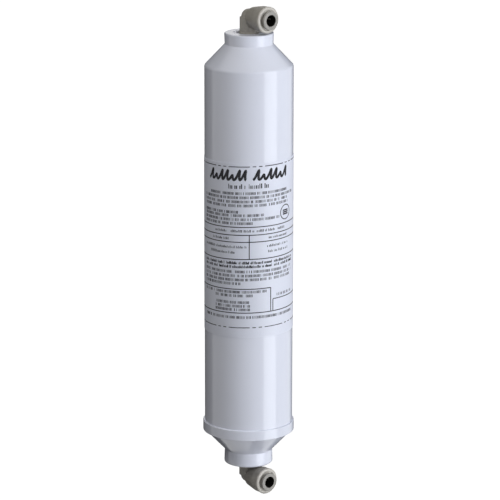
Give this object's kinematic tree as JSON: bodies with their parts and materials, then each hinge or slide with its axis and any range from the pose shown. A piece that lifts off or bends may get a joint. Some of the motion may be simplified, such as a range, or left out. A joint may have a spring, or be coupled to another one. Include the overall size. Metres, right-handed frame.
{
  "type": "inline water filter",
  "caption": "White inline water filter cartridge with conical ends, a wrap label and a push-in tube elbow screwed into the neck at each end.",
  "frame": {"origin": "on the barrel's axis, half way between the two neck faces", "axes": "+Z along the cartridge towards the inlet neck; both tube ports face -Y"},
  "size_m": [0.0528, 0.0528, 0.2864],
  "materials": {
    "housing": "glossy white moulded plastic",
    "label": "coated paper label, semi-matt, greeked print",
    "fitting": "satin warm grey moulded acetal",
    "fitting_ring": "satin lighter warm grey moulded acetal",
    "collet": "satin grey moulded acetal",
    "inner_plastic": "natural moulded plastic",
    "netting": "extruded plastic netting",
    "carbon": "pressed activated carbon",
    "fleece": "non-woven fleece",
    "seal": "black rubber",
    "tape": "thread sealing tape",
    "spring_steel": "bright stainless steel"
  },
  "bodies": {
    "root": {"housing_body": "housing", "outlet_end_cap": "housing", "label_wrap": "label", "inlet_diffuser": "inner_plastic", "hold_down_spring": "spring_steel", "upper_block_cap": "inner_plastic", "carbon_block": "carbon", "prefilter_wrap": "fleece", "protective_netting": "netting", "core_tube": "inner_plastic", "lower_block_cap": "inner_plastic", "spigot_oring_lower": "seal", "spigot_oring_upper": "seal", "outlet_polishing_pad": "fleece", "inlet_elbow_body": "fitting", "inlet_thread_seal": "tape", "inlet_retaining_cap": "fitting_ring", "inlet_tube_oring": "seal", "inlet_thrust_washer": "collet", "outlet_elbow_body": "fitting", "outlet_thread_seal": "tape", "outlet_retaining_cap": "fitting_ring", "outlet_tube_oring": "seal", "outlet_thrust_washer": "collet"},
    "inlet_collet": {"inlet_collet": "collet", "inlet_collet_teeth": "spring_steel"},
    "outlet_collet": {"outlet_collet": "collet", "outlet_collet_teeth": "spring_steel"}
  },
  "joints": [
    {"name": "inlet_collet_press", "type": "slide", "parent": "root", "child": "inlet_collet", "axis": [0, 1, 0], "range_m": [0, 0.0013]},
    {"name": "outlet_collet_press", "type": "slide", "parent": "root", "child": "outlet_collet", "axis": [0, 1, 0], "range_m": [0, 0.0013]}
  ]
}
